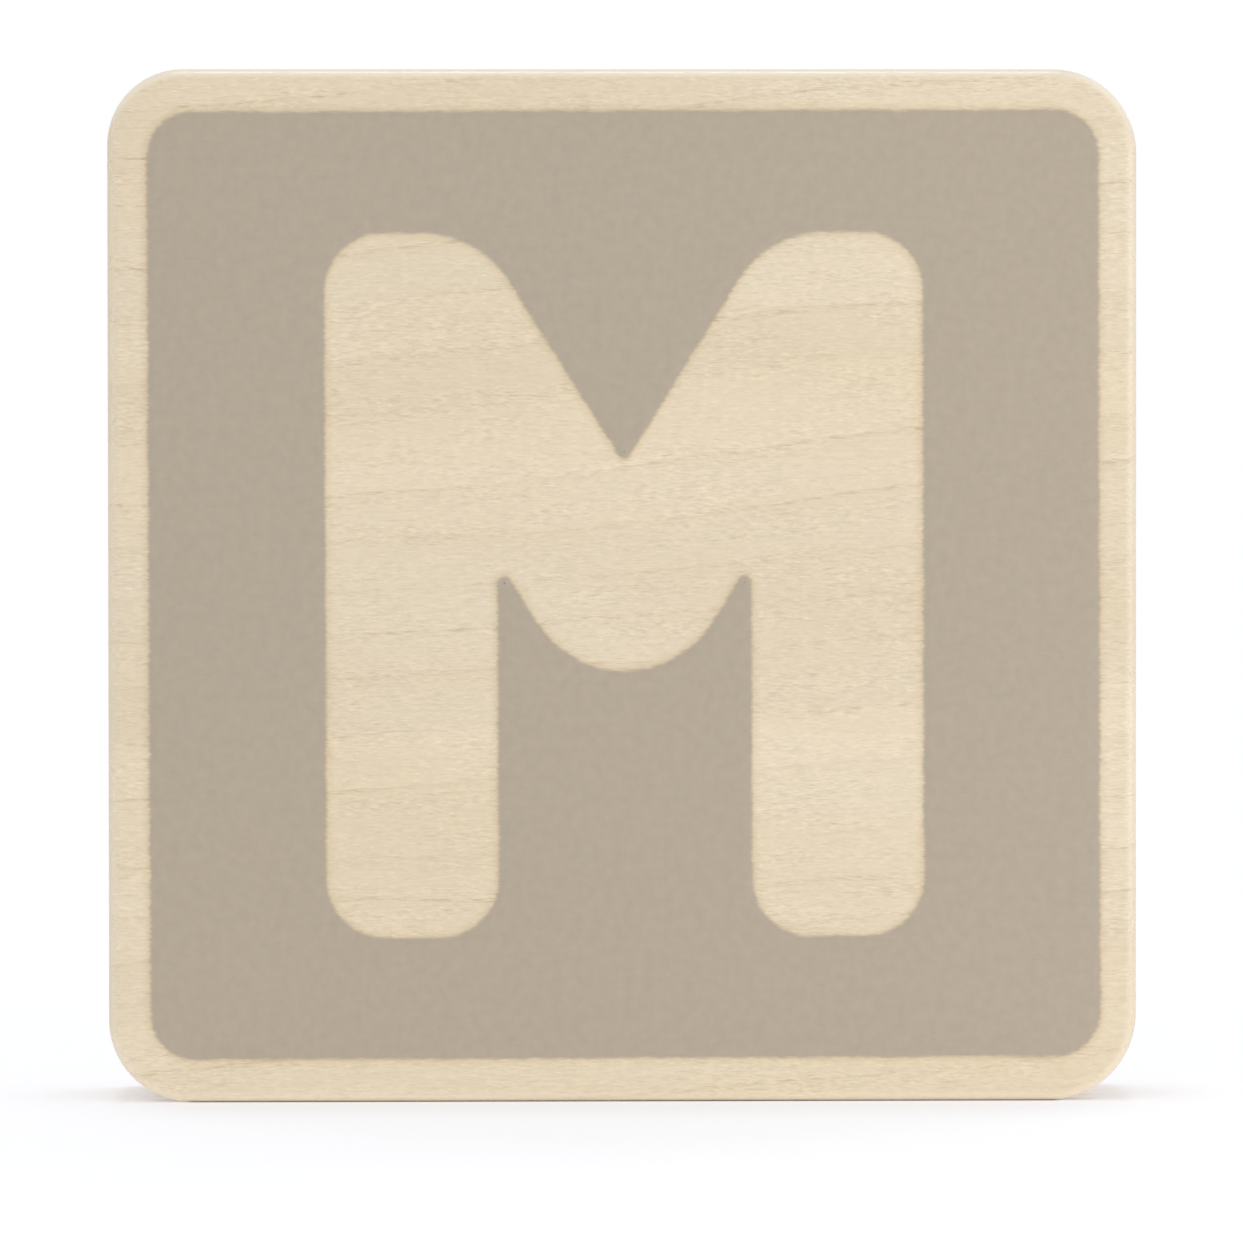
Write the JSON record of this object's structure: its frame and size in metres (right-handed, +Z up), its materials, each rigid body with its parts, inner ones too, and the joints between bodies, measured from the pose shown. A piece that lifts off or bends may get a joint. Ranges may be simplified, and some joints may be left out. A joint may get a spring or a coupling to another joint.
{
  "type": "letter tile",
  "caption": "Nearly square plywood letter tile of a toy name train, with softened corners and a printed front panel that leaves a plain capital letter bare; it stands on its edge.",
  "frame": {"origin": "middle of the lower edge, on the surface that the tile stands on", "axes": "+Z up, +Y from the printed front to the back, +X to the right of someone who faces the front"},
  "size_m": [0.06, 0.0121, 0.0602],
  "materials": {
    "face_veneer": "pale birch face veneer, grain across the tile, sanded, clear matt lacquer",
    "crossband": "birch core ply with its grain up the tile, sanded edges",
    "long_grain_core": "birch core ply with its grain across the tile, sanded edges",
    "print_ink": "matt warm taupe printing ink"
  },
  "bodies": {
    "root": {"front_face_veneer": "face_veneer", "crossband_ply_2": "crossband", "crossband_ply_4": "crossband", "crossband_ply_6": "crossband", "crossband_ply_8": "crossband", "long_grain_ply_3": "long_grain_core", "long_grain_ply_5": "long_grain_core", "long_grain_ply_7": "long_grain_core", "back_face_veneer": "face_veneer", "front_print": "print_ink"}
  },
  "joints": []
}
